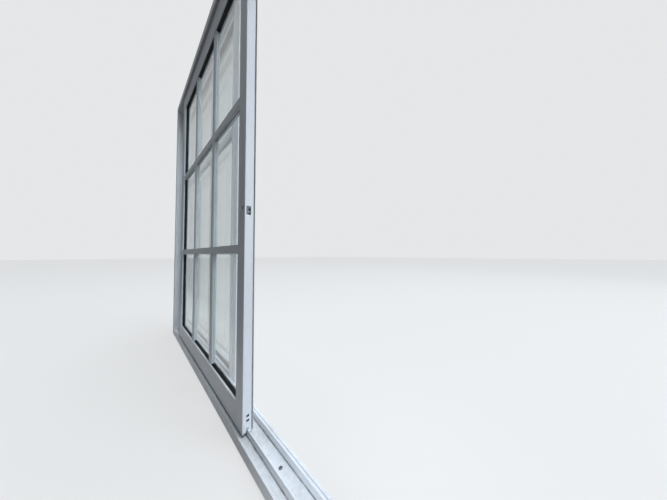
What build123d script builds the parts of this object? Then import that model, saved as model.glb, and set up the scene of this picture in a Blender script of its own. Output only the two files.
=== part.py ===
from build123d import *
import os

# Horizontal sliding window of white aluminium: two sashes with planted glazing bars, in a frame of four tracks.
# X runs along the window, to the right as seen from the room. Y runs outward and Z up.
# The origin is the middle of the frame's bottom face.

# Frame
frame_depth = 70.0
frame_wall = 2.0
track_base = 24.0
jamb_width = 22.0
foot_flange = 8.0
edge_rib_width = 5.5
edge_rib_height = 1.5

# Rails of the sill and fins of the head
rail_thickness = 2.2
rail_height = 16.0
fin_engagement = 10.0

# Sashes
sash_width = 809.0
lock_stile_width = 40.0
interlock_stile_width = 48.0
rail_width = 57.0
pane_height = 360.0
columns = 3
rows = 3
sash_depth = 25.0
track_pitch = 32.5
sash_lift = 9.0
head_gap = 11.0
closing_gap = 3.0
open_gap_at_rest = 130.0
sash_wall = 1.8
stile_corner_radius = 1.2

# Glazing: the glass sits in a channel along the inner edge of each sash member
channel_depth = 15.0
lip_width = 4.4
lip_thickness = 2.0
glass_thickness = 4.0
glass_setback = 9.8
glass_bite = 10.0
gasket_depth = 8.0
gasket_slope = 1.5
gasket_edge = 1.0
block_length = 60.0
block_width = 8.0

# Glazing bars, planted on both faces of the glass
bar_width = 24.0
bar_thickness = 6.6
bar_chamfer = 3.0
bar_end_gap = 0.2

# Chamber for the rollers or the head fin, along the outer edge of each sash rail
chamber_depth = 21.0
chamber_lip_width = 2.5
chamber_lip_height = 3.2
chamber_lip_thickness = 1.8
port_radius = 3.5
port_hole_radius = 1.65
port_overlap = 0.2
rail_slot_width = 5.5
rail_slot_clearance = 2.5

# Small screws and their holes are drawn with this many sides
small_sides = 8

# Corner screws
screw_radius = 1.6
screw_head_radius = 3.2
screw_head_height = 2.2
screw_grip = 16.0
screw_hole_clearance = 0.2
access_hole_radius = 3.5

# Rollers
wheel_radius = 7.0
wheel_groove_radius = 5.6
wheel_width = 11.4
wheel_gap = 0.3
axle_radius = 2.0
axle_clearance = 0.05
housing_length = 44.0
housing_width = 21.0
housing_wall = 4.5
housing_end = 2.0
housing_top = 0.8
wheel_inset = 22.0

# Top guides and anti-lift blocks
guide_length = 30.0
guide_clearance = 0.3
guide_slot_width = 3.2
anti_lift_length = 25.0
anti_lift_gap = 1.1
anti_lift_width = 20.0

# Interlock hooks: the two hooks nest in the gap between the sashes when the window is shut
hook_base_thickness = 1.2
hook_base_width = 30.0
hook_leg_thickness = 1.4
hook_lip_length = 5.6
hook_lip_thickness = 1.0
hook_tip_clearance = 0.9
hook_clearance = 1.0
hook_leg_offset = 27.0

# Pile strips
pile_width = 3.6
pile_rebate = 2.5
pile_stand_out = 2.0
pile_clearance = 0.2

# Lock: a hook bolt on the end face, worked by a thumb slide on the inside face
lock_pivot_height = 519.0
lock_setback = 11.2
lock_pivot_inset = 4.5
lock_hook_outer = 12.0
lock_hook_inner = 9.0
lock_hook_thickness = 3.0
lock_hook_start = 75.0
lock_hook_sweep = 50.0
lock_hub_radius = 3.0
lock_pin_radius = 1.5
lock_pin_clearance = 0.05
lock_pin_seat = 2.5
lock_plate_width = 11.0
lock_plate_setback = 9.2
lock_plate_border = 0.9
lock_plate_recess = 0.6
lock_case_length = 20.0
lock_case_depth = 15.2
lock_case_height = 56.0
lock_cavity_clearance = 0.6
lock_cavity_drop = 6.6
lock_slot_width = 5.0
escutcheon_width = 12.0
escutcheon_height = 40.0
slide_width = 8.0
slide_height = 12.0
slide_travel = 12.0
slide_stand_out = 1.8
slide_depth = 5.5
slide_clearance = 0.3
slide_inset = 13.0

# Keepers on the jambs
keeper_thickness = 1.5
keeper_width = 14.0
keeper_height = 50.0
keeper_corner_radius = 2.0
keeper_slot_width = 5.0
keeper_slot_low = 1.5
keeper_slot_high = 11.0
keeper_screw_spacing = 38.0
keeper_screw_radius = 1.5
keeper_screw_head_radius = 2.8
keeper_screw_head_height = 1.2
keeper_screw_length = 12.0
keeper_cutout_margin = 5.0

# Fixings and drainage
fixing_y = 0.0
jamb_fixing_spacing = 900.0
head_fixing_spacing = 900.0
sill_fixing_spacing = 270.0
side_fixing_count = 2
sill_fixing_count = 5
fixing_hole_radius = 3.5
sill_screw_radius = 2.2
sill_screw_head_radius = 4.0
sill_screw_head_height = 1.6
sill_screw_length = 40.0
drain_length = 25.0
drain_width = 5.0
drain_spacing = 650.0
drain_floor_y = 6.0
drain_leg_height = 10.0

# Sizes that follow from the ones above
opening_sides = lock_stile_width + interlock_stile_width
daylight_width = sash_width - opening_sides
pane_width = (daylight_width - (columns - 1) * bar_width) / columns
daylight_height = rows * pane_height + (rows - 1) * bar_width
sash_height = daylight_height + 2 * rail_width
clear_width = 2 * sash_width - interlock_stile_width + 2 * closing_gap
frame_width = clear_width + 2 * jamb_width
sash_bottom = track_base + sash_lift
sash_top = sash_bottom + sash_height
head_ceiling = sash_top + head_gap
frame_height = head_ceiling + track_base
jamb_face = clear_width / 2
half_depth = frame_depth / 2
inner_face = -(track_pitch + sash_depth) / 2
outer_face = inner_face + track_pitch
track_centres = (inner_face + sash_depth / 2, outer_face + sash_depth / 2)
rail_top = track_base + rail_height
frame_port_depth = frame_wall + port_radius - port_overlap
web_height = rail_width - channel_depth - sash_wall
port_offsets = (chamber_depth + sash_wall + port_radius - port_overlap, web_height - port_radius + port_overlap)
glass_outside = glass_setback + glass_thickness
wheel_height = rail_height - sash_lift + wheel_gap + wheel_groove_radius
hook_reach = track_pitch - sash_depth - hook_base_thickness - hook_tip_clearance
lock_height = sash_bottom + lock_pivot_height
lock_cavity_height = lock_hook_outer + lock_cavity_clearance + lock_cavity_drop
lock_plate_height = lock_cavity_height + 2 * lock_plate_border
lock_plate_rise = lock_cavity_height / 2 - lock_cavity_drop


def write(builder, name):
    """Label a finished piece and write its file."""
    builder.part.label = name
    export_step(builder.part, f"parts/{name}.step")


def patch(place, u, v, mode=Mode.ADD):
    """Rectangle in a sketch between two corners, given across a member (u) and through its depth (v)."""
    x0, y0 = place(u[0], v[0])
    x1, y1 = place(u[1], v[1])
    with Locations(((x0 + x1) / 2, (y0 + y1) / 2)):
        Rectangle(abs(x1 - x0), abs(y1 - y0), mode=mode)


def small_disc(radius):
    """Shank or head of a small screw, drawn with few sides inside its true radius."""
    RegularPolygon(radius, small_sides)


def small_hole(radius, mode=Mode.ADD):
    """Small clearance hole, drawn with few sides outside its true radius."""
    RegularPolygon(radius, small_sides, major_radius=False, mode=mode)


def track_section(level, up, guide_length_out):
    """Section of the sill or head track: a channel with two feet, edge ribs, screw ports and two guides."""

    def place(u, v):
        return (v - half_depth, level - up * u)

    patch(place, (0, track_base), (0, frame_depth))
    patch(place, (frame_wall, track_base - frame_wall), (frame_wall, frame_depth - frame_wall), Mode.SUBTRACT)
    flange = frame_wall + foot_flange
    patch(place, (track_base - frame_wall, track_base), (flange, frame_depth - flange), Mode.SUBTRACT)
    patch(place, (-edge_rib_height, 0), (0, edge_rib_width))
    patch(place, (-edge_rib_height, 0), (frame_depth - edge_rib_width, frame_depth))
    for centre in track_centres:
        middle = centre + half_depth
        patch(place, (-guide_length_out, 0), (middle - rail_thickness / 2, middle + rail_thickness / 2))
        with Locations(place(frame_port_depth, middle)):
            Rectangle(2 * port_radius, 2 * port_radius)
            small_hole(port_hole_radius, mode=Mode.SUBTRACT)


def fixing_rows(count, spacing):
    """Positions of equally spaced fixings about the middle."""
    return [(i - (count - 1) / 2) * spacing for i in range(count)]


def screw(place_head, direction, radius, head_radius, head_height, length):
    """Round-headed screw: head on its seat, shank along direction."""
    seat = Plane(origin=place_head, z_dir=direction)
    with BuildSketch(seat) as shank:
        small_disc(radius)
    extrude(shank.sketch, amount=length)
    with BuildSketch(seat) as head:
        small_disc(head_radius)
    extrude(head.sketch, amount=-head_height)


def build_sill():
    with BuildPart() as sill:
        with BuildSketch(Plane.YZ.offset(-jamb_face)):
            track_section(track_base, 1, rail_height)
        extrude(amount=clear_width)
        rail_tops = sill.edges().filter_by(Axis.X).group_by(Axis.Z)[-1]
        fillet(rail_tops, rail_thickness * 0.4)
        with BuildSketch(Plane.XY.offset(track_base)):
            with Locations(*[(x, fixing_y) for x in fixing_rows(sill_fixing_count, sill_fixing_spacing)]):
                small_hole(sill_screw_radius + screw_hole_clearance)
            with Locations((-drain_spacing, drain_floor_y), (drain_spacing, drain_floor_y)):
                Rectangle(drain_length, drain_width)
        extrude(amount=-frame_wall, mode=Mode.SUBTRACT)
        with BuildSketch(Plane.XZ.offset(-half_depth)):
            with Locations(*[(x, drain_leg_height) for x in (-drain_spacing, 0, drain_spacing)]):
                Rectangle(drain_length, drain_width)
        extrude(amount=frame_wall, mode=Mode.SUBTRACT)
    write(sill, "sill_track")


def build_head():
    with BuildPart() as head:
        with BuildSketch(Plane.YZ.offset(-jamb_face)):
            track_section(head_ceiling, -1, head_gap + fin_engagement)
        extrude(amount=clear_width)
        with BuildSketch(Plane.XY.offset(head_ceiling)):
            with Locations(*[(x, fixing_y) for x in fixing_rows(side_fixing_count, head_fixing_spacing)]):
                Circle(fixing_hole_radius)
        extrude(amount=frame_wall, mode=Mode.SUBTRACT)
    write(head, "head_track")


def keeper_centre_z():
    return lock_height + (keeper_slot_high - keeper_slot_low) / 2


def lock_y(face):
    return face + lock_setback


def build_jamb(side, name, lock_face):
    """Jamb channel, open towards the wall, with fixing holes and the cut-out behind its keeper."""
    slot_height = keeper_slot_high + keeper_slot_low
    with BuildPart() as jamb:
        with BuildSketch(Plane.XY):

            def place(u, v):
                return (side * (jamb_face + u), v - half_depth)

            patch(place, (0, jamb_width), (0, frame_depth))
            hollow = (frame_wall, frame_depth - frame_wall)
            patch(place, (frame_wall, jamb_width - frame_wall), hollow, Mode.SUBTRACT)
            flange = frame_wall + foot_flange
            patch(place, (jamb_width - frame_wall, jamb_width), (flange, frame_depth - flange), Mode.SUBTRACT)
        extrude(amount=frame_height)
        with BuildSketch(Plane.YZ.offset(side * jamb_face)):
            for z in fixing_rows(side_fixing_count, jamb_fixing_spacing):
                with Locations((fixing_y, frame_height / 2 + z)):
                    Circle(fixing_hole_radius)
            with Locations((lock_y(lock_face), keeper_centre_z())):
                Rectangle(keeper_slot_width + keeper_cutout_margin, slot_height + 2 * keeper_cutout_margin)
            for dz in (-keeper_screw_spacing / 2, keeper_screw_spacing / 2):
                with Locations((lock_y(lock_face), keeper_centre_z() + dz)):
                    small_hole(keeper_screw_radius + screw_hole_clearance)
            for centre in track_centres:
                with Locations((centre, track_base - frame_port_depth), (centre, head_ceiling + frame_port_depth)):
                    small_hole(screw_radius + screw_hole_clearance)
        extrude(amount=side * frame_wall, mode=Mode.SUBTRACT)
    write(jamb, name)


def build_frame_hardware():
    with BuildPart() as corner_screws:
        for side in (-1, 1):
            for centre in track_centres:
                for z in (track_base - frame_port_depth, head_ceiling + frame_port_depth):
                    seat = (side * (jamb_face + frame_wall), centre, z)
                    screw(seat, (-side, 0, 0), screw_radius, screw_head_radius, screw_head_height, screw_grip)
    write(corner_screws, "frame_corner_screws")

    with BuildPart() as sill_screws:
        for x in fixing_rows(sill_fixing_count, sill_fixing_spacing):
            seat = (x, fixing_y, track_base)
            screw(seat, (0, 0, -1), sill_screw_radius, sill_screw_head_radius, sill_screw_head_height,
                  track_base - frame_wall)
    write(sill_screws, "sill_fixing_screws")

    with BuildPart() as anti_lift:
        for centre in track_centres:
            with BuildSketch(Plane.XY.offset(head_ceiling)):
                with Locations((0, centre)):
                    Rectangle(anti_lift_length, anti_lift_width)
                    Rectangle(anti_lift_length, guide_slot_width, mode=Mode.SUBTRACT)
            extrude(amount=-(head_gap - anti_lift_gap))
    write(anti_lift, "anti_lift_blocks")


def build_keeper(side, name, lock_face):
    """Steel plate on the jamb, with the slot that the lock's hook catches behind."""
    with BuildPart() as keeper:
        with BuildSketch(Plane.YZ.offset(side * jamb_face)):
            with Locations((lock_y(lock_face), keeper_centre_z())):
                RectangleRounded(keeper_width, keeper_height, keeper_corner_radius)
                Rectangle(keeper_slot_width, keeper_slot_high + keeper_slot_low, mode=Mode.SUBTRACT)
            for dz in (-keeper_screw_spacing / 2, keeper_screw_spacing / 2):
                with Locations((lock_y(lock_face), keeper_centre_z() + dz)):
                    small_hole(keeper_screw_head_radius + screw_hole_clearance, mode=Mode.SUBTRACT)
        extrude(amount=-side * keeper_thickness)
    write(keeper, name)


def build_keeper_screws():
    with BuildPart() as screws:
        for side, face in ((1, inner_face), (-1, outer_face)):
            for dz in (-keeper_screw_spacing / 2, keeper_screw_spacing / 2):
                seat = (side * jamb_face, lock_y(face), keeper_centre_z() + dz)
                screw(seat, (side, 0, 0), keeper_screw_radius, keeper_screw_head_radius,
                      keeper_screw_head_height, keeper_screw_length)
    write(screws, "keeper_screws")


def build_sash(sash, left, face, lock_side, hook_side):
    """One sash. left and face are its left edge and its inside face; lock_side is +1 with the lock on the right;
    hook_side is +1 where the interlock hook is on the outside face."""
    right = left + sash_width
    lock_end = right if lock_side > 0 else left
    hook_end = left if lock_side > 0 else right
    lock_inner = lock_end - lock_side * lock_stile_width
    hook_inner = hook_end + lock_side * interlock_stile_width
    light_left = min(lock_inner, hook_inner)
    light_right = max(lock_inner, hook_inner)
    light_bottom = sash_bottom + rail_width
    light_top = light_bottom + daylight_height
    middle = face + sash_depth / 2

    def channel(place, width):
        """Rectangle of a sash member with the glazing channel along its inner edge."""
        inside = (sash_wall, sash_depth - sash_wall)
        patch(place, (0, lip_thickness), (lip_width, sash_depth - lip_width), Mode.SUBTRACT)
        patch(place, (lip_thickness, channel_depth), inside, Mode.SUBTRACT)
        return inside

    def foot_slots():
        """Slots in a stile's foot and head, where the sill's rail and the head's fin pass."""
        low = rail_height - sash_lift + rail_slot_clearance
        high = fin_engagement + rail_slot_clearance
        for bottom, height in ((sash_bottom, low), (sash_top - high, high)):
            with BuildSketch(Plane.YZ.offset(left)) as slot:
                with Locations((middle, bottom + height / 2)):
                    Rectangle(rail_slot_width, height)
            extrude(slot.sketch, amount=sash_width, mode=Mode.SUBTRACT)

    def screw_heights():
        return [sash_bottom + h for h in port_offsets] + [sash_top - h for h in port_offsets]

    def stile_screw_holes(end, direction, width):
        """Access holes in the outer wall and screw holes in the web behind it."""
        web = end + direction * (width - channel_depth)
        for at, radius, depth in ((end, access_hole_radius, sash_wall),
                                  (web, screw_radius + screw_hole_clearance, -sash_wall)):
            with BuildSketch(Plane.YZ.offset(at)) as holes:
                with Locations(*[(middle, z) for z in screw_heights()]):
                    small_hole(radius)
            extrude(holes.sketch, amount=direction * depth, mode=Mode.SUBTRACT)

    # The lock stile, on the side that meets the jamb
    with BuildPart() as lock_stile:
        with BuildSketch(Plane.XY.offset(sash_bottom)) as section:

            def place(u, v):
                return (lock_inner + lock_side * u, face + v)

            patch(place, (0, lock_stile_width), (0, sash_depth))
            outer_corners = section.vertices().group_by(Axis.X)[-1 if lock_side > 0 else 0]
            fillet(outer_corners, stile_corner_radius)
            inside = channel(place, lock_stile_width)
            patch(place, (channel_depth + sash_wall, lock_stile_width - sash_wall - pile_rebate), inside,
                  Mode.SUBTRACT)
            tube_end = (lock_stile_width - sash_wall - pile_rebate, lock_stile_width - sash_wall)
            patch(place, tube_end, (sash_wall, sash_depth - pile_width - sash_wall), Mode.SUBTRACT)
            patch(place, (lock_stile_width - pile_rebate, lock_stile_width),
                  (sash_depth - pile_width, sash_depth), Mode.SUBTRACT)
        extrude(amount=sash_height)
        foot_slots()
        stile_screw_holes(lock_end, -lock_side, lock_stile_width)
        with BuildSketch(Plane.YZ.offset(lock_end)):
            with Locations((face + lock_plate_setback, lock_height + lock_plate_rise)):
                Rectangle(lock_plate_width, lock_plate_height)
        extrude(amount=-lock_side * sash_wall, mode=Mode.SUBTRACT)
        with BuildSketch(Plane.XZ.offset(-face)):
            with Locations((lock_end - lock_side * slide_inset, lock_height + lock_plate_rise)):
                Rectangle(escutcheon_width, escutcheon_height)
        extrude(amount=-sash_wall, mode=Mode.SUBTRACT)
    write(lock_stile, f"{sash}_lock_stile")

    # The interlock stile, which laps the other sash when the window is shut
    with BuildPart() as interlock_stile:
        with BuildSketch(Plane.XY.offset(sash_bottom)) as section:

            def place(u, v):
                return (hook_inner - lock_side * u, face + v)

            patch(place, (0, interlock_stile_width), (0, sash_depth))
            outer_corners = section.vertices().group_by(Axis.X)[0 if lock_side > 0 else -1]
            fillet(outer_corners, stile_corner_radius)
            inside = channel(place, interlock_stile_width)
            patch(place, (channel_depth + sash_wall, interlock_stile_width - sash_wall), inside, Mode.SUBTRACT)
        extrude(amount=sash_height)
        foot_slots()
        stile_screw_holes(hook_end, lock_side, interlock_stile_width)
    write(interlock_stile, f"{sash}_interlock_stile")

    # Bottom and top rails: one extrusion, with the chamber for the rollers or for the head's fin
    for name, edge, up in (("bottom_rail", sash_bottom, 1), ("top_rail", sash_top, -1)):
        with BuildPart() as rail:
            with BuildSketch(Plane.YZ.offset(light_left)):

                def place(u, v):
                    return (face + v, edge + up * (rail_width - u))

                patch(place, (0, rail_width), (0, sash_depth))
                inside = channel(place, rail_width)
                patch(place, (rail_width - chamber_depth, rail_width), inside, Mode.SUBTRACT)
                patch(place, (channel_depth + sash_wall, rail_width - chamber_depth - sash_wall), inside,
                      Mode.SUBTRACT)
                lip = rail_width - chamber_lip_height
                patch(place, (lip - chamber_lip_thickness, lip), (0, sash_wall + chamber_lip_width))
                patch(place, (lip - chamber_lip_thickness, lip),
                      (sash_depth - sash_wall - chamber_lip_width, sash_depth))
            extrude(amount=daylight_width)
            with BuildSketch(Plane.YZ.offset(light_left - channel_depth)):
                with Locations(*[(middle, edge + up * h) for h in port_offsets]):
                    Rectangle(2 * port_radius, 2 * port_radius)
                    small_hole(port_hole_radius, mode=Mode.SUBTRACT)
            extrude(amount=daylight_width + 2 * channel_depth)
        write(rail, f"{sash}_{name}")

    # One pane of glass, on two setting blocks, between an inside and an outside gasket
    glass_width = daylight_width + 2 * glass_bite
    glass_height = daylight_height + 2 * glass_bite
    light_middle = ((light_left + light_right) / 2, (light_bottom + light_top) / 2)
    with BuildPart() as glass:
        with BuildSketch(Plane.XZ.offset(-(face + glass_setback))):
            with Locations(light_middle):
                Rectangle(glass_width, glass_height)
        extrude(amount=-glass_thickness)
    write(glass, f"{sash}_glass")

    with BuildPart() as blocks:
        with BuildSketch(Plane.XY.offset(light_bottom - channel_depth)):
            for x in (light_middle[0] - daylight_width / 4, light_middle[0] + daylight_width / 4):
                with Locations((x, face + glass_setback + glass_thickness / 2)):
                    Rectangle(block_length, block_width)
        extrude(amount=channel_depth - glass_bite)
    write(blocks, f"{sash}_setting_blocks")

    gasket_outer = (daylight_width + 2 * gasket_depth, daylight_height + 2 * gasket_depth)
    with BuildPart() as inside_gasket:
        with BuildSketch(Plane.XZ.offset(-(face + lip_width))):
            with Locations(light_middle):
                Rectangle(*gasket_outer)
                Rectangle(daylight_width, daylight_height, mode=Mode.SUBTRACT)
        extrude(amount=-(glass_setback - lip_width))
        front = inside_gasket.faces().sort_by(Axis.Y)[0]
        slope = glass_setback - lip_width - gasket_edge
        chamfer(front.inner_wires()[0].edges(), length=gasket_slope, length2=slope, reference=front)
    write(inside_gasket, f"{sash}_inside_gasket")

    with BuildPart() as outside_gasket:
        with BuildSketch(Plane.XZ.offset(-(face + glass_outside))):
            with Locations(light_middle):
                Rectangle(*gasket_outer)
                Rectangle(daylight_width, daylight_height, mode=Mode.SUBTRACT)
        extrude(amount=-(sash_depth - lip_width - glass_outside))
        front = outside_gasket.faces().sort_by(Axis.Y)[-1]
        slope = sash_depth - lip_width - glass_outside - gasket_edge
        chamfer(front.inner_wires()[0].edges(), length=gasket_slope, length2=slope, reference=front)
    write(outside_gasket, f"{sash}_outside_gasket")

    # Glazing bars: crossbars run through, uprights are cut between them
    crossbar_heights = [light_bottom + i * (pane_height + bar_width) - bar_width / 2 for i in range(1, rows)]
    upright_places = [light_left + i * (pane_width + bar_width) - bar_width / 2 for i in range(1, columns)]
    upright_starts = [light_bottom + i * (pane_height + bar_width) for i in range(rows)]
    for where, back, out in (("inside", face + glass_setback, -1), ("outside", face + glass_outside, 1)):
        with BuildPart() as crossbars:
            for z in crossbar_heights:
                with BuildSketch(Plane.YZ.offset(light_left + bar_end_gap)) as section:
                    with Locations((back + out * bar_thickness / 2, z)):
                        Rectangle(bar_thickness, bar_width)
                    chamfer(section.vertices().group_by(Axis.Y)[0 if out < 0 else -1], bar_chamfer)
                extrude(amount=daylight_width - 2 * bar_end_gap)
        write(crossbars, f"{sash}_{where}_crossbars")
        with BuildPart() as uprights:
            for z in upright_starts:
                for x in upright_places:
                    with BuildSketch(Plane.XY.offset(z + bar_end_gap)) as section:
                        with Locations((x, back + out * bar_thickness / 2)):
                            Rectangle(bar_width, bar_thickness)
                        chamfer(section.vertices().group_by(Axis.Y)[0 if out < 0 else -1], bar_chamfer)
                    extrude(amount=pane_height - 2 * bar_end_gap)
        write(uprights, f"{sash}_{where}_uprights")

    # Interlock hook, fixed to the face that meets the other sash
    base = face + sash_depth if hook_side > 0 else face
    hook_x = -hook_side * hook_leg_offset
    leg_shift = 0 if hook_side < 0 else hook_lip_length + hook_leg_thickness + hook_clearance
    with BuildPart() as interlock:
        with BuildSketch(Plane.XY.offset(sash_bottom)):

            def place(u, v):
                return (stile_left + u, base + hook_side * v)

            stile_left = min(hook_end, hook_inner)
            leg = hook_leg_offset - leg_shift
            patch(place, (interlock_stile_width / 2 - hook_base_width / 2,
                          interlock_stile_width / 2 + hook_base_width / 2), (0, hook_base_thickness))
            patch(place, (leg, leg + hook_leg_thickness), (0, hook_reach))
            lip = (leg - hook_lip_length, leg) if hook_side < 0 else (leg, leg + hook_leg_thickness + hook_lip_length)
            patch(place, lip, (hook_reach - hook_lip_thickness, hook_reach))
        extrude(amount=sash_height)
    write(interlock, f"{sash}_interlock_hook")

    # Pile strip in the rebate of the lock stile
    with BuildPart() as pile:
        with BuildSketch(Plane.XY.offset(sash_bottom)):

            def place(u, v):
                return (lock_end + lock_side * u, face + v)

            patch(place, (-pile_rebate, pile_stand_out),
                  (sash_depth - pile_width + pile_clearance, sash_depth - pile_clearance))
        extrude(amount=sash_height)
    write(pile, f"{sash}_pile_strip")

    # Corner screws: heads on the webs inside the stiles, shanks in the rails' ports and the roller housings
    with BuildPart() as corner_screws:
        for end, direction, width in ((lock_end, -lock_side, lock_stile_width),
                                      (hook_end, lock_side, interlock_stile_width)):
            web = end + direction * (width - channel_depth - sash_wall)
            for z in screw_heights():
                screw((web, middle, z), (direction, 0, 0), screw_radius, screw_head_radius,
                      screw_head_height, screw_grip)
    write(corner_screws, f"{sash}_corner_screws")

    # Rollers: a housing at each end of the bottom rail, with a grooved wheel on an axle
    axle_height = sash_bottom + wheel_height
    roller_ends = (("left", light_left, 1), ("right", light_right, -1))
    for name, end, inward in roller_ends:
        wheel_x = end + inward * wheel_inset
        low = sash_bottom + chamber_lip_height + chamber_lip_thickness
        high = sash_bottom + chamber_depth
        slot_top = rail_height - sash_lift + rail_slot_clearance + sash_bottom
        with BuildPart() as housing:
            with BuildSketch(Plane.YZ.offset(end)):
                with Locations((middle, (low + high) / 2)):
                    Rectangle(housing_width, high - low)
                with Locations((middle, (low + high) / 2 - housing_top / 2)):
                    Rectangle(housing_width - 2 * housing_wall, high - low - housing_top, mode=Mode.SUBTRACT)
            extrude(amount=inward * housing_length)
            for start in (end, end + inward * (housing_length - housing_end)):
                with BuildSketch(Plane.YZ.offset(start)):
                    with Locations((middle, (low + high) / 2)):
                        Rectangle(housing_width, high - low)
                    with Locations((middle, (low + slot_top) / 2)):
                        Rectangle(rail_slot_width, slot_top - low, mode=Mode.SUBTRACT)
                extrude(amount=inward * housing_end)
            with BuildSketch(Plane.XZ.offset(-(middle - housing_width / 2))):
                with Locations((wheel_x, axle_height)):
                    small_hole(axle_radius + axle_clearance)
            extrude(amount=-housing_width, mode=Mode.SUBTRACT)
        write(housing, f"{sash}_{name}_roller_housing")

        groove = rail_thickness + 2 * wheel_gap
        with BuildPart() as wheel:
            with BuildSketch(Plane.XZ.offset(-(middle - wheel_width / 2))):
                with Locations((wheel_x, axle_height)):
                    Circle(wheel_radius)
                    Circle(axle_radius + axle_clearance, mode=Mode.SUBTRACT)
            extrude(amount=-wheel_width)
            with BuildSketch(Plane.XZ.offset(-(middle - groove / 2))):
                with Locations((wheel_x, axle_height)):
                    Circle(wheel_radius + wheel_gap)
                    Circle(wheel_groove_radius, mode=Mode.SUBTRACT)
            extrude(amount=-groove, mode=Mode.SUBTRACT)
        write(wheel, f"{sash}_{name}_wheel")

    with BuildPart() as axles:
        for name, end, inward in roller_ends:
            with BuildSketch(Plane.XZ.offset(-(middle - housing_width / 2))):
                with Locations((end + inward * wheel_inset, axle_height)):
                    Circle(axle_radius)
            extrude(amount=-housing_width)
    write(axles, f"{sash}_roller_axles")

    # Nylon guides in the top rail's chamber, which run on the head's fin
    with BuildPart() as guides:
        for end, inward in ((light_left, 1), (light_right, -1)):
            width = sash_depth - 2 * sash_wall - 2 * guide_clearance
            low = sash_top - chamber_depth
            high = sash_top - chamber_lip_height - chamber_lip_thickness
            slot_bottom = sash_top - fin_engagement - rail_slot_clearance
            with BuildSketch(Plane.YZ.offset(end)):
                with Locations((middle, (low + high) / 2)):
                    Rectangle(width, high - low)
                with Locations((middle, (slot_bottom + high) / 2)):
                    Rectangle(guide_slot_width, high - slot_bottom, mode=Mode.SUBTRACT)
            extrude(amount=inward * guide_length)
    write(guides, f"{sash}_top_guides")

    # Lock: case, hook bolt, pivot pin and thumb slide
    pivot = (lock_end - lock_side * lock_pivot_inset, lock_y(face), lock_height)
    case_end = lock_end - lock_side * sash_wall
    slide_x = lock_end - lock_side * slide_inset
    plate_z = lock_height + lock_plate_rise
    cavity_radius = lock_hook_outer + lock_cavity_clearance
    pin_length = sash_wall + lock_case_depth - lock_setback + lock_slot_width / 2 + lock_pin_seat
    with BuildPart() as case:
        with BuildSketch(Plane.XZ.offset(-(face + sash_wall))):
            with Locations((case_end - lock_side * lock_case_length / 2, plate_z)):
                Rectangle(lock_case_length, lock_case_height)
        extrude(amount=-lock_case_depth)
        with BuildSketch(Plane.YZ.offset(case_end)):
            with Locations((face + lock_plate_setback, plate_z)):
                Rectangle(lock_plate_width - 2 * slide_clearance, lock_plate_height - 2 * slide_clearance)
        extrude(amount=lock_side * (sash_wall - lock_plate_recess))
        with BuildSketch(Plane.XZ.offset(-(face + sash_wall))):
            with Locations((slide_x, plate_z)):
                Rectangle(escutcheon_width - 2 * slide_clearance, escutcheon_height - 2 * slide_clearance)
        extrude(amount=sash_wall)
        with BuildSketch(Plane.XZ.offset(-(pivot[1] - lock_slot_width / 2))):
            back = pivot[0] - lock_side * cavity_radius
            with Locations(((back + lock_end) / 2, plate_z)):
                Rectangle(abs(lock_end - back), lock_cavity_height)
        extrude(amount=-lock_slot_width, mode=Mode.SUBTRACT)
        with BuildSketch(Plane.XZ.offset(-face)):
            with Locations((slide_x, plate_z)):
                height = slide_height + slide_travel + 2 * slide_clearance
                Rectangle(slide_width + 2 * slide_clearance, height)
        extrude(amount=-(slide_depth + slide_clearance), mode=Mode.SUBTRACT)
        with BuildSketch(Plane.XZ.offset(-(face + sash_wall + lock_case_depth))):
            with Locations((pivot[0], pivot[2])):
                Circle(lock_pin_radius + lock_pin_clearance)
        extrude(amount=pin_length, mode=Mode.SUBTRACT)
    write(case, f"{sash}_lock_case")

    with BuildPart() as hook:
        plane = Plane(origin=pivot, x_dir=(lock_side, 0, 0), z_dir=(0, -lock_side, 0))
        with BuildSketch(plane):
            with BuildLine():
                outer = CenterArc((0, 0), lock_hook_outer, lock_hook_start, lock_hook_sweep)
                inner = CenterArc((0, 0), lock_hook_inner, lock_hook_start, lock_hook_sweep)
                Line(outer @ 0, inner @ 0)
                Line(outer @ 1, inner @ 1)
            make_face()
            arm_angle = lock_hook_start + lock_hook_sweep * 0.8
            reach = (lock_hook_inner + lock_hook_outer) / 2
            with PolarLocations(reach / 2, 1, start_angle=arm_angle):
                Rectangle(reach, lock_hook_outer - lock_hook_inner)
            Circle(lock_hub_radius)
            Circle(lock_pin_radius + lock_pin_clearance, mode=Mode.SUBTRACT)
        extrude(amount=lock_hook_thickness / 2, both=True)
    write(hook, f"{sash}_lock_hook")

    with BuildPart() as pin:
        with BuildSketch(Plane.XZ.offset(-(face + sash_wall + lock_case_depth))):
            with Locations((pivot[0], pivot[2])):
                Circle(lock_pin_radius)
        extrude(amount=pin_length)
    write(pin, f"{sash}_lock_pin")

    with BuildPart() as slide:
        with BuildSketch(Plane.XZ.offset(-(face - slide_stand_out))):
            with Locations((slide_x, plate_z - slide_travel / 2)):
                Rectangle(slide_width, slide_height)
        extrude(amount=-(slide_stand_out + slide_depth))
        fillet(slide.faces().sort_by(Axis.Y)[0].edges(), 1)
    write(slide, f"{sash}_lock_slide")


os.makedirs("parts", exist_ok=True)
build_sill()
build_head()
build_jamb(-1, "left_jamb", outer_face)
build_jamb(1, "right_jamb", inner_face)
build_frame_hardware()
build_keeper(1, "right_keeper", inner_face)
build_keeper(-1, "left_keeper", outer_face)
build_keeper_screws()
closed_left = -jamb_face + closing_gap
build_sash("inner", closed_left + open_gap_at_rest, inner_face, 1, 1)
build_sash("outer", closed_left, outer_face, -1, -1)
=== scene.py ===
import bpy, bmesh, math, random
from mathutils import Matrix, Vector


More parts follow.
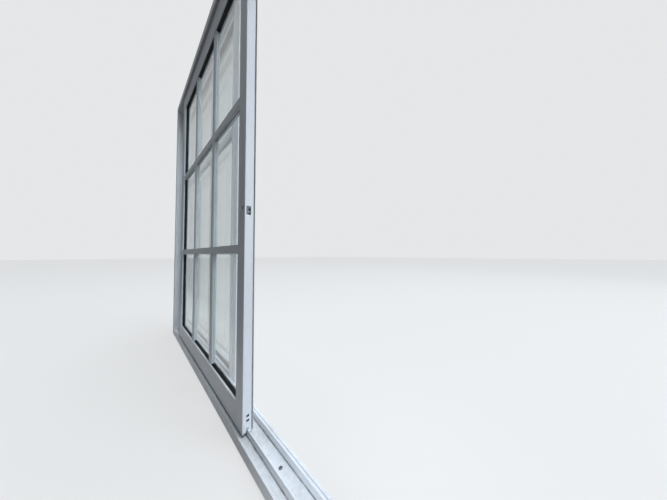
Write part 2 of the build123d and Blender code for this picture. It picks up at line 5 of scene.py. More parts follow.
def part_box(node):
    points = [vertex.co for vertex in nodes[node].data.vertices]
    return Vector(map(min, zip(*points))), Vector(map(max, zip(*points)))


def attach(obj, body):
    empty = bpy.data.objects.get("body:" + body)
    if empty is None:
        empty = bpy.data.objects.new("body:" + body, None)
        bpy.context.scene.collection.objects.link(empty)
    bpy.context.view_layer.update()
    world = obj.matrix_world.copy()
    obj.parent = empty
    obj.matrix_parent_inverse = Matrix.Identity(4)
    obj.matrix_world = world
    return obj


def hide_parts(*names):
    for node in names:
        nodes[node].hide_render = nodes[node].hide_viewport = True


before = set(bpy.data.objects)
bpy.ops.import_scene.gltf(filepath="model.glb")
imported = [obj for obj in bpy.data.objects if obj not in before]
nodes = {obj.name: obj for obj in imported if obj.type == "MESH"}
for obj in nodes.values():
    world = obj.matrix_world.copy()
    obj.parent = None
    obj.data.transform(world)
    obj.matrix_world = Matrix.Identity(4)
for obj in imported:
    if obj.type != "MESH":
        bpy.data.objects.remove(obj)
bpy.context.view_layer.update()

# Head track and jambs: aluminium extrusions, a track with two fins above and two plain channels at the
# sides, cut square, powder coated white in one bath and screwed together at the corners. The baked film is
# satin, has a paler painted highlight over the edges and keeps faint smudges.


def linear(hex_colour):
    """sRGB hex value as the linear RGBA that a shader takes."""
    channels = [int(hex_colour[i:i + 2], 16) / 255 for i in (1, 3, 5)]
    return [c / 12.92 if c <= 0.04045 else ((c + 0.055) / 1.055) ** 2.4 for c in channels] + [1.0]


def add_node(tree, kind, inputs=None, **settings):
    """Add one node with its settings; an input is a value or another node's output."""
    made = tree.nodes.new(kind)
    for name, value in settings.items():
        setattr(made, name, value)
    for name, value in (inputs or {}).items():
        if isinstance(value, bpy.types.NodeSocket):
            tree.links.new(value, made.inputs[name])
        else:
            made.inputs[name].default_value = value
    return made


def new_finish(name):
    """Empty material with its tree, its Principled shader and its object coordinates in metres."""
    material = bpy.data.materials.new(name)
    material.use_nodes = True
    tree = material.node_tree
    shader = tree.nodes["Principled BSDF"]
    place = add_node(tree, "ShaderNodeTexCoord").outputs["Object"]
    return material, tree, shader, place


def finish_nodes(material, *names):
    """Give CAD nodes a material."""
    for name in names:
        mesh = nodes[name].data
        mesh.materials.clear()
        mesh.materials.append(material)


def powder_coat(name, clean, edge_highlight, dusty, dust_top, dust_depth, dust):
    """Polyester powder coat: satin, with the orange peel of a baked film, 2 mm across, and a paler painted
    highlight where it rounds an edge. Dust sets in at the height dust_top, is full from dust_depth below it,
    both in metres, and lies thickest on what faces up; dust is its strength."""
    material, tree, shader, place = new_finish(name)
    normal = add_node(tree, "ShaderNodeNewGeometry").outputs["Normal"]

    # Smudges 100 mm across, and dust that gathers in patches of 7 mm
    smudge = add_node(tree, "ShaderNodeTexNoise",
                      {"Vector": place, "Scale": 9.0, "Detail": 5.0, "Roughness": 0.6})
    speck = add_node(tree, "ShaderNodeTexNoise",
                     {"Vector": place, "Scale": 140.0, "Detail": 4.0, "Roughness": 0.65})
    patches = add_node(tree, "ShaderNodeMath", {0: smudge.outputs["Fac"], 1: speck.outputs["Fac"]},
                       operation="MULTIPLY")
    patches = add_node(tree, "ShaderNodeMapRange", {"Value": patches.outputs["Value"], "From Min": 0.2,
                                                    "From Max": 0.38, "To Min": 0.0, "To Max": dust})
    height = add_node(tree, "ShaderNodeSeparateXYZ", {"Vector": place})
    low = add_node(tree, "ShaderNodeMapRange", {"Value": height.outputs["Z"], "From Min": dust_top,
                                                "From Max": dust_top - dust_depth, "To Min": 0.0,
                                                "To Max": 1.0})
    facing = add_node(tree, "ShaderNodeSeparateXYZ", {"Vector": normal})
    upward = add_node(tree, "ShaderNodeMapRange", {"Value": facing.outputs["Z"], "From Min": 0.0,
                                                   "From Max": 1.0, "To Min": 0.15, "To Max": 0.6})
    lying = add_node(tree, "ShaderNodeMath", {0: low.outputs["Result"], 1: upward.outputs["Result"]},
                     operation="MULTIPLY")
    lying = add_node(tree, "ShaderNodeMath", {0: lying.outputs["Value"], 1: patches.outputs["Result"]},
                     operation="MULTIPLY")

    # Painted highlight on the film over rounded edges, 1 mm wide
    rounded = add_node(tree, "ShaderNodeBevel", {"Radius": 0.001}, samples=6)
    turned = add_node(tree, "ShaderNodeVectorMath", {0: rounded.outputs["Normal"], 1: normal},
                      operation="DOT_PRODUCT")
    edge = add_node(tree, "ShaderNodeMapRange", {"Value": turned.outputs["Value"], "From Min": 0.99,
                                                 "From Max": 0.8, "To Min": 0.0, "To Max": 0.6})
    tone = add_node(tree, "ShaderNodeMapRange", {"Value": smudge.outputs["Fac"], "From Min": 0.35,
                                                 "From Max": 0.7, "To Min": 0.0, "To Max": 0.12})
    worn = add_node(tree, "ShaderNodeMix", {"Factor": tone.outputs["Result"], "A": linear(clean),
                                            "B": linear(dusty)}, data_type="RGBA")
    film = add_node(tree, "ShaderNodeMix", {"Factor": edge.outputs["Result"], "A": worn.outputs["Result"],
                                            "B": linear(edge_highlight)}, data_type="RGBA")
    colour = add_node(tree, "ShaderNodeMix", {"Factor": lying.outputs["Value"], "A": film.outputs["Result"],
                                              "B": linear(dusty)}, data_type="RGBA")
    tree.links.new(colour.outputs["Result"], shader.inputs["Base Color"])
    rough = add_node(tree, "ShaderNodeMapRange", {"Value": lying.outputs["Value"], "From Min": 0.0,
                                                  "From Max": 0.5, "To Min": 0.33, "To Max": 0.62})
    tree.links.new(rough.outputs["Result"], shader.inputs["Roughness"])
    peel = add_node(tree, "ShaderNodeTexNoise", {"Vector": place, "Scale": 500.0, "Detail": 1.0})
    bump = add_node(tree, "ShaderNodeBump", {"Height": peel.outputs["Fac"], "Strength": 0.06,
                                             "Distance": 0.0003, "Normal": rounded.outputs["Normal"]})
    tree.links.new(bump.outputs["Normal"], shader.inputs["Normal"])
    return material


# A coat's third colour is the painted highlight on its rounded edges
frame_coat = powder_coat("white powder coat, frame", "#E6EAF0", "#F3F5F8", "#9C9B95", 0.030, 0.007, 0.3)
finish_nodes(frame_coat, "head_track", "left_jamb", "right_jamb")

# Sill track: one extrusion with two standing rails that the wheels run on, between edge ribs, on two feet.
# Its floor lies open to the weather, so dust lies on it, and a thin dark line of painted shade, uneven over
# 14 mm, runs along the crease at the foot of each rail.


def coordinates(material):
    """A material's tree, its object coordinates in metres, and their X, Y and Z apart."""
    tree = material.node_tree
    place = add_node(tree, "ShaderNodeTexCoord").outputs["Object"]
    return tree, place, add_node(tree, "ShaderNodeSeparateXYZ", {"Vector": place}).outputs


def away_from(tree, coordinate, centre):
    """How far a coordinate lies from a centre, on either side."""
    past = add_node(tree, "ShaderNodeMath", {0: coordinate, 1: centre}, operation="SUBTRACT")
    away = add_node(tree, "ShaderNodeMath", {0: past.outputs["Value"]}, operation="ABSOLUTE")
    return away.outputs["Value"]


def lay_colour(material, mask, colour):
    """Lay a colour over a material's own where mask is 1."""
    tree = material.node_tree
    base = tree.nodes["Principled BSDF"].inputs["Base Color"]
    over = add_node(tree, "ShaderNodeMix", {"Factor": mask, "A": base.links[0].from_socket,
                                            "B": linear(colour)}, data_type="RGBA")
    tree.links.new(over.outputs["Result"], base)


track = 0.01625  # from the middle of the frame to the middle of each rail, sash and fin
sill_floor = 0.024  # height of the floor between the rails
crease_shade_full, crease_shade_gone = 0.0018, 0.0034  # how far from a rail's middle the painted shade at its foot begins to fade and ends
sill_coat = powder_coat("white powder coat, sill", "#E6EAF0", "#F5F7F9", "#8F8D85", 0.030, 0.007, 0.45)
tree, place, axes = coordinates(sill_coat)
shade_breakup = add_node(tree, "ShaderNodeTexNoise", {"Vector": place, "Scale": 70.0, "Detail": 3.0})
uneven = add_node(tree, "ShaderNodeMapRange", {"Value": shade_breakup.outputs["Fac"], "From Min": 0.35,
                                               "From Max": 0.6, "To Min": 0.3, "To Max": 0.7})
on_floor = add_node(tree, "ShaderNodeMapRange", {"Value": axes["Z"], "From Min": sill_floor + 0.0006,
                                                 "From Max": sill_floor + 0.003, "To Min": 1.0,
                                                 "To Max": 0.0})
side = add_node(tree, "ShaderNodeMath", {0: axes["Y"]}, operation="ABSOLUTE")
foot = add_node(tree, "ShaderNodeMapRange", {"Value": away_from(tree, side.outputs["Value"], track),
                                             "From Min": crease_shade_full, "From Max": crease_shade_gone,
                                             "To Min": 1.0, "To Max": 0.0}, interpolation_type="SMOOTHSTEP")
painted_foot_shade = add_node(tree, "ShaderNodeMath", {0: foot.outputs["Result"], 1: on_floor.outputs["Result"]},
                operation="MULTIPLY")
painted_foot_shade = add_node(tree, "ShaderNodeMath", {0: painted_foot_shade.outputs["Value"], 1: uneven.outputs["Result"]},
                operation="MULTIPLY")
# Painted shade: a thin dark line on the floor along the foot of each rail, uneven along its length
lay_colour(sill_coat, painted_foot_shade.outputs["Value"], "#67655F")
finish_nodes(sill_coat, "sill_track")

# Frame screws: zinc-plated steel screws with cross recesses. Eight pull the jambs onto the tracks' screw
# ports, and five hold the sill down through its floor. Weather has dulled the plating to a cloudy grey.


def plated_steel(name, dark, pale, smooth, rough):
    """Zinc-plated steel: a metal, clouded in spots of 2 mm that differ in tone and in roughness."""
    material, tree, shader, place = new_finish(name)
    shader.inputs["Metallic"].default_value = 1.0
    cloud = add_node(tree, "ShaderNodeTexNoise", {"Vector": place, "Scale": 600.0, "Detail": 3.0})
    plating = add_node(tree, "ShaderNodeMix", {"Factor": cloud.outputs["Fac"], "A": linear(dark),
                                               "B": linear(pale)}, data_type="RGBA")
    tree.links.new(plating.outputs["Result"], shader.inputs["Base Color"])
    sheen = add_node(tree, "ShaderNodeMapRange", {"Value": cloud.outputs["Fac"], "To Min": smooth,
                                                  "To Max": rough})
    tree.links.new(sheen.outputs["Result"], shader.inputs["Roughness"])
    return material


def new_piece(name, shape, material, body, replaced):
    """Object of a finished bmesh, riding on a body in place of a CAD node."""
    bmesh.ops.remove_doubles(shape, verts=shape.verts[:], dist=1e-7)
    bmesh.ops.recalc_face_normals(shape, faces=shape.faces[:])
    mesh = bpy.data.meshes.new(name)
    shape.to_mesh(mesh)
    shape.free()
    mesh.materials.append(material)
    piece = bpy.data.objects.new(name, mesh)
    bpy.context.scene.collection.objects.link(piece)
    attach(piece, body)
    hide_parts(replaced)
    return piece


def screws(name, material, body, replaced, head_radius, head_height, length, seats):
    """Like pan-head screws in one mesh, each one a turned head on a shank that tapers to a point. A seat is
    the middle of a head's underside and the way its shank points."""
    one = bmesh.new()
    pan_head = [(0.0, 1.0), (0.16, 1.0), (0.5, 0.98), (0.8, 0.8), (0.97, 0.42), (1.0, 0.1), (0.96, 0.0)]
    profile = [one.verts.new((head_radius * out, 0.0, head_height * up)) for out, up in pan_head]
    profile.append(one.verts.new((0.0, 0.0, -length)))
    for a, b in zip(profile, profile[1:]):
        one.edges.new((a, b))
    bmesh.ops.spin(one, geom=one.verts[:] + one.edges[:], axis=(0.0, 0.0, 1.0), cent=(0.0, 0.0, 0.0),
                   angle=2 * math.pi, steps=24, use_merge=True)
    bmesh.ops.remove_doubles(one, verts=one.verts[:], dist=1e-7)

    # Cross recess: its outline is cut into the flat of the head, and the faces inside it are pushed down
    arm_length, half_arm, recess_depth = 0.5 * head_radius, 0.11 * head_radius, 0.6 * head_height
    flat = 0.9 * head_height
    for way in (Vector((1, 0, 0)), Vector((0, 1, 0))):
        for side in (-half_arm, half_arm):
            top = [f for f in one.faces if f.calc_center_median().z > flat]
            top += list({e for f in top for e in f.edges}) + list({v for f in top for v in f.verts})
            bmesh.ops.bisect_plane(one, geom=top, plane_co=way * side, plane_no=way)
    recess = []
    for face in one.faces:
        middle = face.calc_center_median()
        across = math.hypot(middle.x, middle.y)
        in_arm = min(abs(middle.x), abs(middle.y)) < half_arm
        if middle.z > flat and across < arm_length and in_arm:
            recess.append(face)
        face.smooth = across > arm_length and middle.z > 0.0
    sunk = bmesh.ops.extrude_face_region(one, geom=recess)["geom"]
    sunk = [v for v in sunk if isinstance(v, bmesh.types.BMVert)]
    bmesh.ops.translate(one, verts=sunk, vec=(0.0, 0.0, -recess_depth))
    bmesh.ops.delete(one, geom=[f for f in recess if f.is_valid], context="FACES_ONLY")

    # One copy at each seat, with its cross turned another way
    pattern = bpy.data.meshes.new("screw pattern")
    one.to_mesh(pattern)
    one.free()
    every = bmesh.new()
    for number, (seat, direction) in enumerate(seats):
        before = len(every.verts)
        every.from_mesh(pattern)
        every.verts.ensure_lookup_table()
        turn = Vector((0.0, 0.0, -1.0)).rotation_difference(Vector(direction)).to_matrix().to_4x4()
        spun = Matrix.Rotation(0.7 * number, 4, "Z")
        bmesh.ops.transform(every, matrix=Matrix.Translation(seat) @ turn @ spun, verts=every.verts[before:])
    bpy.data.meshes.remove(pattern)
    new_piece(name, every, material, body, replaced)


# A screw's sizes are its head's radius, its head's height and its shank's length
sill_screw = (0.004, 0.0016, 0.022)
corner_screw = (0.0032, 0.0022, 0.016)
fixing_pitch = 0.27
jamb_web = 0.79  # from the frame's middle to the web that the heads lie on
track_ports = (0.0187, 1.2913)  # heights of the screw ports in the sill and in the head
dull_zinc = plated_steel("dulled zinc-plated steel", "#6C7074", "#94989B", 0.35, 0.6)
screws("sill_pan_head_screws", dull_zinc, "frame", "sill_fixing_screws", *sill_screw,
       [((step * fixing_pitch, 0.0, sill_floor), (0, 0, -1)) for step in range(-2, 3)])
screws("frame_pan_head_screws", dull_zinc, "frame", "frame_corner_screws", *corner_screw,
       [((end * jamb_web, y, z), (-end, 0, 0)) for end in (-1, 1) for y in (-track, track)
        for z in track_ports])

# Sashes: two stiles and two rails each, hollow extrusions butted and screwed at the corners, in the same
# white coat. Flat glazing bars with bevelled edges are planted on both faces of the glass. A hairline shows
# where the rails butt against the stiles.

sash_middle, rails_from = 0.654, 0.564  # height of a sash's middle, and how far from it the rails begin
bar_coat = powder_coat("white powder coat, glazing bars", "#E4E9EE", "#F2F5F8", "#A9A9A2", 0.02, 0.01, 0.3)
for sash, butts in (("inner", (0.114, -0.607)), ("outer", (-0.745, -0.024))):
    sash_coat = powder_coat(f"white powder coat, {sash} sash", "#E4E8EF", "#F4F7FA", "#A3A29B",
                            0.090, 0.055, 0.6)
    tree, place, axes = coordinates(sash_coat)
    corner = add_node(tree, "ShaderNodeMath", {0: away_from(tree, axes["Z"], sash_middle), 1: rails_from},
                      operation="GREATER_THAN")
    for butt in butts:
        near = add_node(tree, "ShaderNodeMapRange", {"Value": away_from(tree, axes["X"], butt),
                                                     "From Min": 0.0002, "From Max": 0.0006, "To Min": 0.6,
                                                     "To Max": 0.0})
        seam = add_node(tree, "ShaderNodeMath", {0: near.outputs["Result"], 1: corner.outputs["Value"]},
                        operation="MULTIPLY")
        lay_colour(sash_coat, seam.outputs["Value"], "#3C3D3E")
    finish_nodes(sash_coat, *[f"{sash}_{piece}" for piece in ("lock_stile", "interlock_stile", "bottom_rail",
                                                              "top_rail", "interlock_hook")])
    finish_nodes(bar_coat, *[f"{sash}_{face}_{piece}" for face in ("inside", "outside")
                             for piece in ("crossbars", "uprights")])

# Corner screws of the sashes: eight zinc-plated screws in each, their heads on the webs inside the stiles,
# where a driver reaches them through holes in the end faces.

rail_ports = (0.0591, 0.0699, 1.2381, 1.2489)  # heights of the screw ports in both rails
for sash, middle, webs in (("inner", -track, ((0.1308, -1), (-0.6238, 1))),
                           ("outer", track, ((-0.7618, 1), (-0.0072, -1)))):
    screws(f"{sash}_sash_pan_head_screws", dull_zinc, f"{sash}_sash", f"{sash}_corner_screws", *corner_screw,
           [((x, middle, z), (way, 0, 0)) for x, way in webs for z in rail_ports])

# Glass: one 4 mm float pane in each sash, clear with the faint green of its iron, under a thin film of dust
# with wiped streaks, 70 mm wide, that only dull its reflections.

float_glass, tree, shader, place = new_finish("clear float glass")
shader.inputs["Base Color"].default_value = linear("#F1F5F5")
shader.inputs["IOR"].default_value = 1.52
shader.inputs["Transmission Weight"].default_value = 1.0
streaks = add_node(tree, "ShaderNodeTexNoise", {"Vector": place, "Scale": 14.0, "Detail": 6.0,
                                                "Distortion": 1.2})
film = add_node(tree, "ShaderNodeMapRange", {"Value": streaks.outputs["Fac"], "From Min": 0.45,
                                             "From Max": 0.8, "To Min": 0.0, "To Max": 0.012})
tree.links.new(film.outputs["Result"], shader.inputs["Roughness"])
passing = add_node(tree, "ShaderNodeLightPath")
clear = add_node(tree, "ShaderNodeBsdfTransparent", {"Color": linear("#F7FAFA")})
blend = add_node(tree, "ShaderNodeMixShader", {0: passing.outputs["Is Shadow Ray"],
                                               1: shader.outputs["BSDF"], 2: clear.outputs["BSDF"]})
tree.links.new(blend.outputs["Shader"], tree.nodes["Material Output"].inputs["Surface"])
finish_nodes(float_glass, "inner_glass", "outer_glass")

# Glazing rubber: black wedge gaskets pushed in round the glass on both sides, and the blocks that the glass
# stands on. Moulded and extruded rubber is matt, with a grain of about 1 mm.

rubber, tree, shader, place = new_finish("black EPDM rubber")
shader.inputs["Roughness"].default_value = 0.62
grain = add_node(tree, "ShaderNodeTexNoise", {"Vector": place, "Scale": 900.0, "Detail": 2.0})
tint = add_node(tree, "ShaderNodeMapRange", {"Value": grain.outputs["Fac"], "To Min": 0.0, "To Max": 0.5})
black = add_node(tree, "ShaderNodeMix", {"Factor": tint.outputs["Result"], "A": linear("#08090A"),
                                         "B": linear("#161718")}, data_type="RGBA")
tree.links.new(black.outputs["Result"], shader.inputs["Base Color"])
rise = add_node(tree, "ShaderNodeBump", {"Height": grain.outputs["Fac"], "Strength": 0.2,
                                         "Distance": 0.0002})
tree.links.new(rise.outputs["Normal"], shader.inputs["Normal"])
for sash in ("inner", "outer"):
    finish_nodes(rubber, f"{sash}_inside_gasket", f"{sash}_outside_gasket", f"{sash}_setting_blocks")

# Pile strips: weatherstrip slid into the rebate of each lock stile, a woven polypropylene backing with rows
# of grey fibres that brush the jamb, their tone changing every 0.4 mm along it. The tufts are drawn 1.5 mm
# apart, coarser than real fibres, and one block of them is repeated along the stile.

pile, tree, shader, place = new_finish("grey polypropylene pile")
shader.inputs["Roughness"].default_value = 0.9
run = add_node(tree, "ShaderNodeMapping", {"Vector": place, "Scale": (900.0, 900.0, 2600.0)})
fibre = add_node(tree, "ShaderNodeTexNoise", {"Vector": run.outputs["Vector"], "Scale": 1.0, "Detail": 2.0})
shade = add_node(tree, "ShaderNodeMix", {"Factor": fibre.outputs["Fac"], "A": linear("#A4A8A9"),
                                         "B": linear("#CDD0D1")}, data_type="RGBA")
tree.links.new(shade.outputs["Result"], shader.inputs["Base Color"])
fuzz = add_node(tree, "ShaderNodeBump", {"Height": fibre.outputs["Fac"], "Strength": 0.8,
                                         "Distance": 0.0005})
tree.links.new(fuzz.outputs["Normal"], shader.inputs["Normal"])

backing = 0.0009  # thickness of the woven strip
stand = 0.0045  # from the strip's root to the longest tips
spare = 0.00002  # between two blocks, so that their ends don't share a face
side_margin = 0.0005  # from the strip's sides to the outer lanes
blocks, rows, lanes = 41, 20, 4
for sash, way, seed in (("inner", 1, 4), ("outer", -1, 9)):
    low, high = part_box(f"{sash}_pile_strip")
    root = low[0] if way > 0 else high[0]
    pitch = (high[2] - low[2]) / (blocks * rows)
    lane_pitch = (high[1] - low[1] - 2 * side_margin) / (lanes - 1)
    chance = random.Random(seed)
    strip = bmesh.new()
    bmesh.ops.create_cube(strip, size=1.0)
    bmesh.ops.scale(strip, vec=(backing, high[1] - low[1], pitch * rows - spare), verts=strip.verts[:])
    bmesh.ops.translate(strip, vec=(root + way * backing / 2, (low[1] + high[1]) / 2,
                                    low[2] + pitch * rows / 2), verts=strip.verts[:])
    upright = Matrix.Rotation(way * math.pi / 2, 4, "Y")
    for row in range(rows):
        for lane in range(lanes):
            reach = stand - chance.uniform(0.0, 0.0005) - backing
            lean = Matrix.Rotation(math.radians(chance.uniform(-5, 5)), 4, "Y")
            foot = Vector((root + way * backing, low[1] + side_margin + lane * lane_pitch,
                           low[2] + (row + 0.5 + chance.uniform(-0.2, 0.2)) * pitch))
            matrix = Matrix.Translation(foot) @ upright @ lean @ Matrix.Translation((0, 0, reach / 2))
            bmesh.ops.create_cone(strip, cap_ends=True, segments=5, radius1=0.0005, radius2=0.00025,
                                  depth=reach, matrix=matrix)
    piece = new_piece(f"{sash}_brush_strip", strip, pile, f"{sash}_sash", f"{sash}_pile_strip")
    repeat = piece.modifiers.new("run", "ARRAY")
    repeat.use_relative_offset = False
    repeat.use_constant_offset = True
    repeat.constant_offset_displace = (0.0, 0.0, pitch * rows)
    repeat.count = blocks

# Rollers and guides: grooved wheels and their housings in the bottom rails' chambers, guides in the top
# rails and anti-lift blocks at the head. Moulded nylon is off-white, half matt and a little cloudy, in
# patches of 4 mm. The axles are steel.

nylon, tree, shader, place = new_finish("natural nylon")
shader.inputs["Roughness"].default_value = 0.45
cloud = add_node(tree, "ShaderNodeTexNoise", {"Vector": place, "Scale": 260.0, "Detail": 3.0})
cream = add_node(tree, "ShaderNodeMix", {"Factor": cloud.outputs["Fac"], "A": linear("#D9D6CA"),
                                         "B": linear("#C6C2B4")}, data_type="RGBA")
tree.links.new(cream.outputs["Result"], shader.inputs["Base Color"])
soft_edge = add_node(tree, "ShaderNodeBevel", {"Radius": 0.0003}, samples=4)
tree.links.new(soft_edge.outputs["Normal"], shader.inputs["Normal"])
finish_nodes(nylon, "anti_lift_blocks")
for sash in ("inner", "outer"):
    finish_nodes(nylon, f"{sash}_top_guides", *[f"{sash}_{side}_{piece}" for side in ("left", "right")
                                                for piece in ("roller_housing", "wheel")])
    finish_nodes(dull_zinc, f"{sash}_roller_axles")

# Locks: a mortise hook lock in each lock stile. The cast case is painted grey and shows as a small plate in
# the end face, with the zinc-plated hook and its pin behind a slot. Its cover on the sash's inside face is
# white, and a white ABS thumb slide with ridges works the hook, matt from the 0.7 mm grit of its mould.

# The inner sash's cover stands out further than one depth, and the outer sash's lies at the other
inner_depth, outer_depth, cover_half = -0.0268, 0.0046, 0.001
lock_paint = powder_coat("grey lock paint", "#70757D", "#8D9299", "#5D5D5A", 0.0, 0.01, 0.3)
tree, place, axes = coordinates(lock_paint)
inner_cover = add_node(tree, "ShaderNodeMath", {0: axes["Y"], 1: inner_depth}, operation="LESS_THAN")
outer_cover = add_node(tree, "ShaderNodeMath", {0: axes["Y"], 1: outer_depth, 2: cover_half},
                       operation="COMPARE")
cover = add_node(tree, "ShaderNodeMath", {0: inner_cover.outputs["Value"], 1: outer_cover.outputs["Value"]},
                 operation="MAXIMUM")
lay_colour(lock_paint, cover.outputs["Value"], "#DDE1E6")
bright_zinc = plated_steel("bright zinc-plated steel", "#8B8F93", "#A6AAAE", 0.3, 0.5)

moulded, tree, shader, place = new_finish("white moulded ABS")
shader.inputs["Roughness"].default_value = 0.5
spark = add_node(tree, "ShaderNodeTexNoise", {"Vector": place, "Scale": 1500.0, "Detail": 1.0})
white = add_node(tree, "ShaderNodeMix", {"Factor": spark.outputs["Fac"], "A": linear("#D6DADD"),
                                         "B": linear("#E0E3E6")}, data_type="RGBA")
tree.links.new(white.outputs["Result"], shader.inputs["Base Color"])
grit = add_node(tree, "ShaderNodeBump", {"Height": spark.outputs["Fac"], "Strength": 0.25,
                                         "Distance": 0.0001})
tree.links.new(grit.outputs["Normal"], shader.inputs["Normal"])

# The front's bands lie between two margins, and every second one of the lower eight is a groove
margin, bands, groove_depth, edge_round = 0.002, 9, 0.0005, 0.001
for sash in ("inner", "outer"):
    finish_nodes(lock_paint, f"{sash}_lock_case")
    finish_nodes(bright_zinc, f"{sash}_lock_hook", f"{sash}_lock_pin")
    low, high = (Vector(corner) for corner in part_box(f"{sash}_lock_slide"))
    front, first = low.y + 1e-5, low.z + margin
    thumb = bmesh.new()
    bmesh.ops.create_cube(thumb, size=1.0)
    bmesh.ops.scale(thumb, vec=high - low, verts=thumb.verts[:])
    bmesh.ops.translate(thumb, vec=(low + high) / 2, verts=thumb.verts[:])
    rim = [e for e in thumb.edges if all(v.co.y < front for v in e.verts)]
    bmesh.ops.bevel(thumb, geom=rim, offset=edge_round, segments=3, profile=0.5, affect="EDGES", material=-1)
    band_height = (high.z - low.z - 2 * margin) / bands
    for level in range(bands + 1):
        bmesh.ops.bisect_plane(thumb, geom=thumb.verts[:] + thumb.edges[:] + thumb.faces[:],
                               plane_co=(0, 0, first + level * band_height), plane_no=(0, 0, 1))
    grooves = []
    for face in thumb.faces:
        middle = face.calc_center_median()
        band = int((middle.z - first) / band_height)
        if middle.y < front and middle.z > first and band in (1, 3, 5, 7):
            grooves.append(face)
    sunk = bmesh.ops.extrude_face_region(thumb, geom=grooves)["geom"]
    sunk = [v for v in sunk if isinstance(v, bmesh.types.BMVert)]
    bmesh.ops.translate(thumb, verts=sunk, vec=(0.0, groove_depth, 0.0))
    bmesh.ops.delete(thumb, geom=[f for f in grooves if f.is_valid], context="FACES_ONLY")
    new_piece(f"{sash}_thumb_slide", thumb, moulded, f"{sash}_lock_slide_body",
              f"{sash}_lock_slide")

# Keepers: a stainless plate screwed to each jamb, with the slot that the hook turns into. The sheet is
# brushed along its length, in lines 0.3 mm wide and 17 mm long, and two pan-head screws hold each plate.

stainless, tree, shader, place = new_finish("brushed stainless steel")
shader.inputs["Metallic"].default_value = 1.0
shader.inputs["Base Color"].default_value = linear("#B4B6B8")
stretch = add_node(tree, "ShaderNodeMapping", {"Vector": place, "Scale": (3000.0, 3000.0, 60.0)})
brush = add_node(tree, "ShaderNodeTexNoise", {"Vector": stretch.outputs["Vector"], "Scale": 1.0,
                                              "Detail": 2.0})
rough = add_node(tree, "ShaderNodeMapRange", {"Value": brush.outputs["Fac"], "To Min": 0.22, "To Max": 0.45})
tree.links.new(rough.outputs["Result"], shader.inputs["Roughness"])
finish_nodes(stainless, "left_keeper", "right_keeper")

keeper_screw = (0.0028, 0.0012, 0.012)
keeper_face, keeper_shift = 0.788, -0.0013  # the shift puts a keeper in line with its hook
keeper_holes = (0.53775, 0.57575)
screws("keeper_pan_head_screws", bright_zinc, "frame", "keeper_screws", *keeper_screw,
       [((end * keeper_face, keeper_shift - end * track, z), (end, 0, 0)) for end in (1, -1)
        for z in keeper_holes])

# Studio: a plain pale floor under the frame, a soft lamp high up, a lower one outside, a small one over the
# open sill, a sky that is weak on the room side, and the camera close to the inner sash, looking along it
# to the left.

floor_mesh = bpy.data.meshes.new("floor")
shape = bmesh.new()
bmesh.ops.create_grid(shape, x_segments=1, y_segments=1, size=30.0)
shape.to_mesh(floor_mesh)
shape.free()
floor = bpy.data.objects.new("floor", floor_mesh)
bpy.context.scene.collection.objects.link(floor)
floor.location = (0, 0, -0.0005)  # half a millimetre below the sill's feet

# The floor lights the window as a plain brown grey. The camera, the glass and mirrors outdoors see it pale.
floor_paint, tree, shader, place = new_finish("pale studio floor")
shader.inputs["Roughness"].default_value = 0.8
ray = add_node(tree, "ShaderNodeLightPath")
depth = add_node(tree, "ShaderNodeSeparateXYZ", {"Vector": place})
outdoors = add_node(tree, "ShaderNodeMapRange", {"Value": depth.outputs["Y"], "From Min": -0.4,
                                                 "From Max": 0.0, "To Min": 0.15, "To Max": 1.0},
                    interpolation_type="SMOOTHSTEP")
mirror = add_node(tree, "ShaderNodeMath", {0: ray.outputs["Is Glossy Ray"], 1: outdoors.outputs["Result"]},
                  operation="MULTIPLY")
seen = add_node(tree, "ShaderNodeMath", {0: ray.outputs["Is Camera Ray"], 1: mirror.outputs["Value"]},
                operation="MAXIMUM")
seen = add_node(tree, "ShaderNodeMath", {0: seen.outputs["Value"], 1: ray.outputs["Is Transmission Ray"]},
                operation="MAXIMUM")
paint = add_node(tree, "ShaderNodeMix", {"Factor": seen.outputs["Value"], "A": linear("#565350"),
                                         "B": linear("#DCDDDE")}, data_type="RGBA")
tree.links.new(paint.outputs["Result"], shader.inputs["Base Color"])
share = add_node(tree, "ShaderNodeMath", {0: seen.outputs["Value"], 1: 0.72}, operation="MULTIPLY")
glow = add_node(tree, "ShaderNodeEmission", {"Color": linear("#EEEFF0"), "Strength": 1.0})
paled = add_node(tree, "ShaderNodeMixShader", {0: share.outputs["Value"], 1: shader.outputs["BSDF"],
                                               2: glow.outputs["Emission"]})
tree.links.new(paled.outputs["Shader"], tree.nodes["Material Output"].inputs["Surface"])
floor_mesh.materials.append(floor_paint)

scene = bpy.context.scene
world = bpy.data.worlds.new("studio")
scene.world = world
world.use_nodes = True
tree = world.node_tree
tree.nodes.clear()
ray = add_node(tree, "ShaderNodeLightPath")
way = add_node(tree, "ShaderNodeTexCoord").outputs["Generated"]
depth = add_node(tree, "ShaderNodeSeparateXYZ", {"Vector": way})

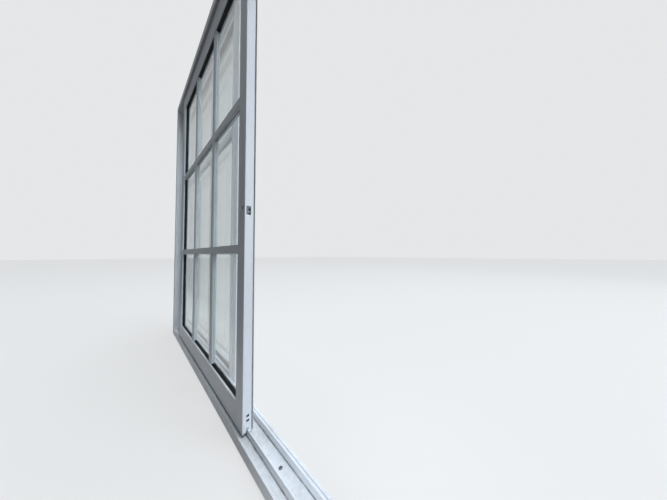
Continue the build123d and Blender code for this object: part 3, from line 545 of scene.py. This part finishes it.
# What lights the window: a sky brightest outside, above and to the right, and a little light in the room
side = add_node(tree, "ShaderNodeVectorMath", {0: way, 1: Vector((0.64, 0.54, 0.54))},
                operation="DOT_PRODUCT")
sky = add_node(tree, "ShaderNodeMapRange", {"Value": side.outputs["Value"], "From Min": -0.05,
                                            "From Max": 0.9, "To Min": 0.0, "To Max": 1.0},
               interpolation_type="SMOOTHSTEP")
outdoors = add_node(tree, "ShaderNodeMapRange", {"Value": depth.outputs["Y"], "From Min": -0.35,
                                                 "From Max": 0.05, "To Min": 0.0, "To Max": 1.3},
                    interpolation_type="SMOOTHSTEP")
indoors = add_node(tree, "ShaderNodeMapRange", {"Value": depth.outputs["Y"], "From Min": -0.35,
                                                "From Max": 0.05, "To Min": 0.18, "To Max": 0.0},
                   interpolation_type="SMOOTHSTEP")
sky = add_node(tree, "ShaderNodeMath", {0: sky.outputs["Result"], 1: outdoors.outputs["Result"],
                                        2: indoors.outputs["Result"]}, operation="MULTIPLY_ADD")
lit = add_node(tree, "ShaderNodeBackground", {"Color": (0.83, 0.92, 1.0, 1.0),
                                              "Strength": sky.outputs["Value"]})

# What is seen: a pale backdrop all round, but a grey room where a surface mirrors the room side
seen = add_node(tree, "ShaderNodeMath", {0: ray.outputs["Is Camera Ray"], 1: ray.outputs["Is Glossy Ray"]},
                operation="MAXIMUM")
seen = add_node(tree, "ShaderNodeMath", {0: seen.outputs["Value"], 1: ray.outputs["Is Transmission Ray"]},
                operation="MAXIMUM")
room = add_node(tree, "ShaderNodeMapRange", {"Value": depth.outputs["Y"], "From Min": -0.35,
                                             "From Max": 0.0, "To Min": 0.95, "To Max": 0.0},
                interpolation_type="SMOOTHSTEP")
mirror = add_node(tree, "ShaderNodeMath", {0: ray.outputs["Is Glossy Ray"],
                                           1: ray.outputs["Is Transmission Ray"]},
                  operation="GREATER_THAN")
mirror = add_node(tree, "ShaderNodeMath", {0: room.outputs["Result"], 1: mirror.outputs["Value"]},
                  operation="MULTIPLY")
wall = add_node(tree, "ShaderNodeMix", {"Factor": mirror.outputs["Value"], "A": linear("#E6E7E8"),
                                        "B": linear("#55595D")}, data_type="RGBA")
shown = add_node(tree, "ShaderNodeBackground", {"Color": wall.outputs["Result"], "Strength": 1.0})
mixed = add_node(tree, "ShaderNodeMixShader", {0: seen.outputs["Value"], 1: lit.outputs["Background"],
                                               2: shown.outputs["Background"]})
add_node(tree, "ShaderNodeOutputWorld", {"Surface": mixed.outputs["Shader"]})


def soft_lamp(name, place, target, size, spread, power, colour):
    """Square soft lamp at place, pointed at target; spread is its beam in degrees."""
    light = bpy.data.lights.new(name, "AREA")
    light.shape = "SQUARE"
    light.size = size
    light.spread = math.radians(spread)
    light.energy = power
    light.color = colour
    lamp = bpy.data.objects.new(name, light)
    bpy.context.scene.collection.objects.link(lamp)
    lamp.location = place
    lamp.rotation_euler = (Vector(target) - Vector(place)).to_track_quat("-Z", "Y").to_euler()


soft_lamp("high lamp", place=(2.4, 0.3, 6.6), target=(0.2, 0.0, 0.5), size=2.4, spread=180, power=278.0,
          colour=(0.93, 0.97, 1.0))
soft_lamp("outside lamp", place=(5.6, 4.2, 2.7), target=(0.0, 0.0, 0.6), size=4.2, spread=120, power=76.0,
          colour=(0.87, 0.95, 1.0))
soft_lamp("sill lamp", place=(0.45, -0.5, 0.35), target=(0.45, 0.0, 0.03), size=0.3, spread=35, power=0.14,
          colour=(0.93, 0.97, 1.0))

camera_data = bpy.data.cameras.new("camera")
camera_data.sensor_width = 36.0
camera_data.lens = 10.147
camera_data.clip_start = 0.005
camera = bpy.data.objects.new("camera", camera_data)
scene.collection.objects.link(camera)
camera.location = (0.6085, -0.2115, 0.4486)
camera.rotation_euler = (math.radians(91.44), 0.0, math.radians(42.70))
scene.camera = camera
scene.view_settings.view_transform = "Standard"
